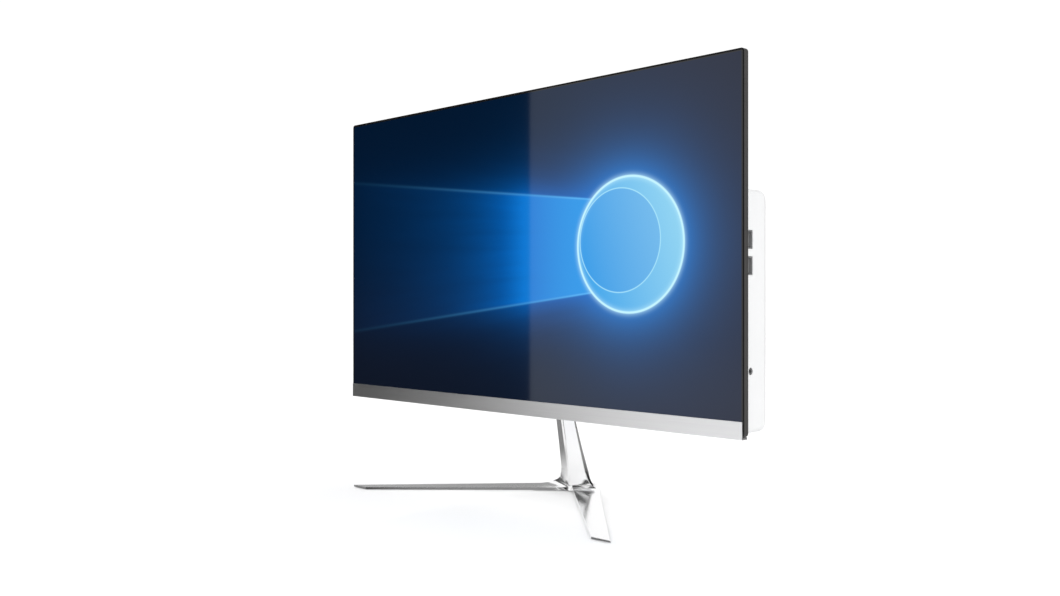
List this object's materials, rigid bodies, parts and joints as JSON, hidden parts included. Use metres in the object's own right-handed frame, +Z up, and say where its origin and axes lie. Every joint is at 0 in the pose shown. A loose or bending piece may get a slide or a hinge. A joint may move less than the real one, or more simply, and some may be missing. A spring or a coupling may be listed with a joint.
{
  "type": "all-in-one desktop computer",
  "caption": "All-in-one desktop computer: slim-bezel flat display with a silver chin, the computer in a shallow white rear housing, on a polished V-shaped tilting stand.",
  "frame": {"origin": "on the desk, at the centre of the overall footprint of the display and stand", "axes": "+X to the right as seen from the front of the screen, +Y towards the back, +Z up"},
  "size_m": [0.532, 0.18, 0.4005],
  "materials": {
    "screen_glass": "glossy, dark",
    "display_cell": "smooth",
    "clear_optics": "clear, smooth",
    "white_film": "matte",
    "emitter_strip": "matte",
    "zinc_sheet": "plain zinc-plated",
    "black_frame": "satin black",
    "silver_chin": "satin silver",
    "white_plastic": "semi-gloss white",
    "button_cap": "satin grey",
    "steel_posts": "turned",
    "circuit_board": "solder mask, green",
    "brass_fittings": "plain",
    "screw_steel": "zinc-plated",
    "dark_screws": "dark plated",
    "chip_black": "moulded epoxy",
    "processor_lid": "satin",
    "radio_can": "satin",
    "cell_steel": "satin",
    "aerial_foil": "foil",
    "copper": "plain copper",
    "fin_aluminium": "plain",
    "blower_plastic": "matte black",
    "drive_case": "cast and machined",
    "speaker_plastic": "matte black",
    "lead_sleeve": "flexible sleeve",
    "ribbon": "matte",
    "port_metal": "nickel-plated",
    "port_black": "matte black",
    "io_shield": "satin",
    "hinge_steel": "ground",
    "polished_stand": "mirror-polished",
    "pad_rubber": "matte"
  },
  "bodies": {
    "stand": {"hinge_axle": "hinge_steel", "hinge_spacers": "brass_fittings", "hinge_nuts": "screw_steel", "neck_head": "polished_stand", "stand_neck": "polished_stand", "stand_foot": "polished_stand", "foot_screws": "screw_steel", "foot_pads": "pad_rubber"},
    "display": {"cover_glass": "screen_glass", "lcd_panel": "display_cell", "optical_films": "clear_optics", "light_guide": "clear_optics", "reflector_sheet": "white_film", "backlight_bar": "emitter_strip", "panel_back_plate": "zinc_sheet", "panel_control_board": "circuit_board", "mid_frame": "black_frame", "chin_bar": "silver_chin", "main_chassis": "zinc_sheet", "rear_cover": "white_plastic", "cover_screws": "dark_screws", "wall_mount_posts": "steel_posts", "lock_slot_plate": "zinc_sheet", "motherboard": "circuit_board", "board_standoffs": "brass_fittings", "board_screws": "screw_steel", "board_chips": "chip_black", "board_sockets": "chip_black", "processor": "processor_lid", "memory_modules": "circuit_board", "solid_state_drive": "chip_black", "wireless_card": "radio_can", "coin_cell": "cell_steel", "antennas": "aerial_foil", "cold_plate": "copper", "heat_pipes": "copper", "fin_stack": "fin_aluminium", "blower_housing": "blower_plastic", "blower_cover": "blower_plastic", "blower_bearing": "brass_fittings", "blower_stator": "copper", "drive_caddy": "zinc_sheet", "hard_drive": "drive_case", "speaker_boxes": "speaker_plastic", "speaker_drivers": "speaker_plastic", "speaker_leads": "lead_sleeve", "display_cable": "ribbon", "side_io_board": "circuit_board", "side_usb_ports": "port_metal", "headphone_jack": "port_black", "rear_io_plate": "io_shield", "dc_inlet": "port_black", "video_port": "port_metal", "network_port": "port_metal", "rear_usb_ports": "port_metal", "button_board": "circuit_board", "hinge_bracket": "zinc_sheet", "hinge_screws": "screw_steel"},
    "power_button": {"power_button": "button_cap"},
    "blower_impeller": {"blower_impeller": "blower_plastic"}
  },
  "joints": [
    {"name": "display_tilt", "type": "hinge", "parent": "stand", "child": "display", "pos_m": [0, 0.008, 0.205], "axis": [-1, 0, 0], "range_deg": [-5, 20]},
    {"name": "power_button_press", "type": "slide", "parent": "display", "child": "power_button", "axis": [0, 0, 1], "range_m": [0, 0.0005], "stiffness_N_per_m": 500, "springref_m": -0.001},
    {"name": "fan_spin", "type": "hinge", "parent": "display", "child": "blower_impeller", "pos_m": [0.102, 0, 0.221], "axis": [0, 1, 0], "continuous": true}
  ]
}
